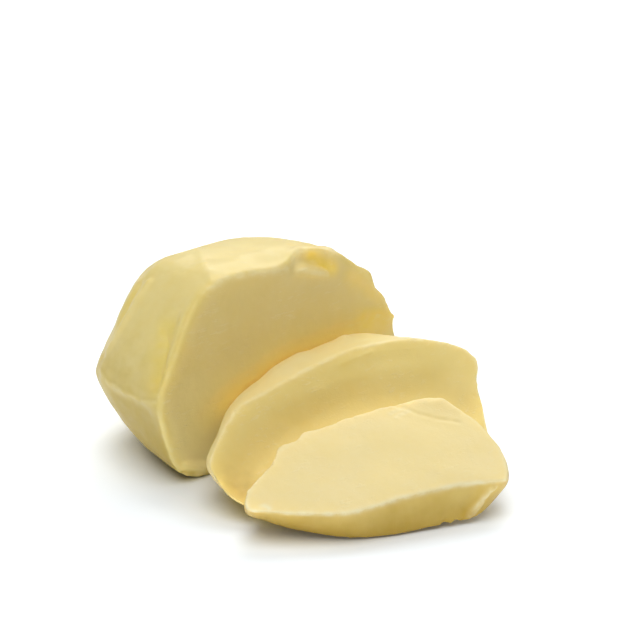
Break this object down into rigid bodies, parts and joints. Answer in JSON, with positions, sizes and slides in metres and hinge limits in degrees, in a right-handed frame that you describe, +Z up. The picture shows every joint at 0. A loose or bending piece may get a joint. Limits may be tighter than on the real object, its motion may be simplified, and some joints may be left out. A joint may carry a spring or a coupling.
{
  "type": "mozzarella ball",
  "caption": "Pressed ball of firm mozzarella cheese, cut flat at the front, with cut slices fallen back against it. Rests on its flat underside.",
  "frame": {"origin": "middle of the bounding box on the floor", "axes": "+X runs out of the cut face towards the slices, +Y across the cut face, +Z up"},
  "size_m": [0.1198, 0.0932, 0.0571],
  "materials": {
    "cheese_ball": "satin, moist",
    "middle_slice": "satin, moist",
    "front_slice": "satin, moist"
  },
  "bodies": {
    "root": {"cheese_ball": "cheese_ball", "middle_slice": "middle_slice", "front_slice": "front_slice"}
  },
  "joints": []
}
